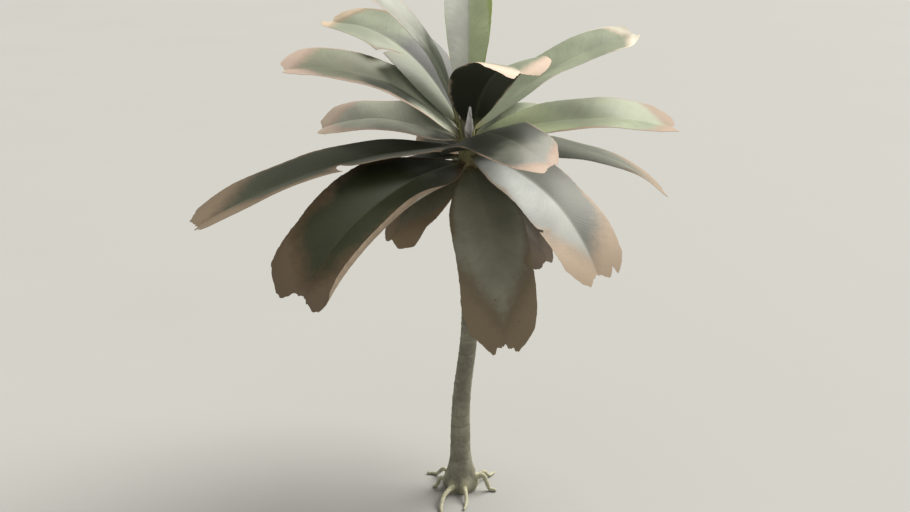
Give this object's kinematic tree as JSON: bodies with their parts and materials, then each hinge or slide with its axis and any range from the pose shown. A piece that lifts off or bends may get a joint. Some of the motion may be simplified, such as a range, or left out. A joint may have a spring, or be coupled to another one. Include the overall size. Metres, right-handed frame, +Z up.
{
  "type": "broad-leaved palm tree",
  "caption": "Small understorey palm: a slim, bent, ringed stem with a swollen foot and short roots carries a round crown of broad undivided leaves with notched ends.",
  "frame": {"origin": "middle of the flat cut under the stem, at ground level", "axes": "+Z up the stem, -Y towards the side that the plant is seen from, +X to the right of that view"},
  "size_m": [1.4979, 1.1472, 1.851],
  "materials": {
    "stem": "smooth grey-olive bark with fine ring scars, slightly mottled",
    "root": "pale green-grey, faintly ribbed, dull",
    "leaf": "leathery grey-green blade with a soft sheen, fine cross veins and dry tan margins"
  },
  "bodies": {
    "root": {"drooping_leaf_1": "leaf", "drooping_leaf_2": "leaf", "drooping_leaf_3": "leaf", "drooping_leaf_4": "leaf", "drooping_leaf_5": "leaf", "drooping_leaf_6": "leaf", "drooping_leaf_7": "leaf", "hanging_leaf_1": "leaf", "hanging_leaf_2": "leaf", "hanging_leaf_3": "leaf", "hanging_leaf_4": "leaf", "hanging_leaf_5": "leaf", "hanging_leaf_6": "leaf", "rising_leaf_1": "leaf", "rising_leaf_2": "leaf", "rising_leaf_3": "leaf", "rising_leaf_4": "leaf", "rising_leaf_5": "leaf", "rising_leaf_6": "leaf", "root_1": "root", "root_2": "root", "root_3": "root", "root_4": "root", "root_5": "root", "root_6": "root", "root_7": "root", "spear_leaf": "leaf", "spreading_leaf_1": "leaf", "spreading_leaf_2": "leaf", "spreading_leaf_3": "leaf", "spreading_leaf_4": "leaf", "spreading_leaf_5": "leaf", "stem": "stem", "upright_leaf_1": "leaf", "upright_leaf_2": "leaf", "young_leaf": "leaf"}
  },
  "joints": []
}
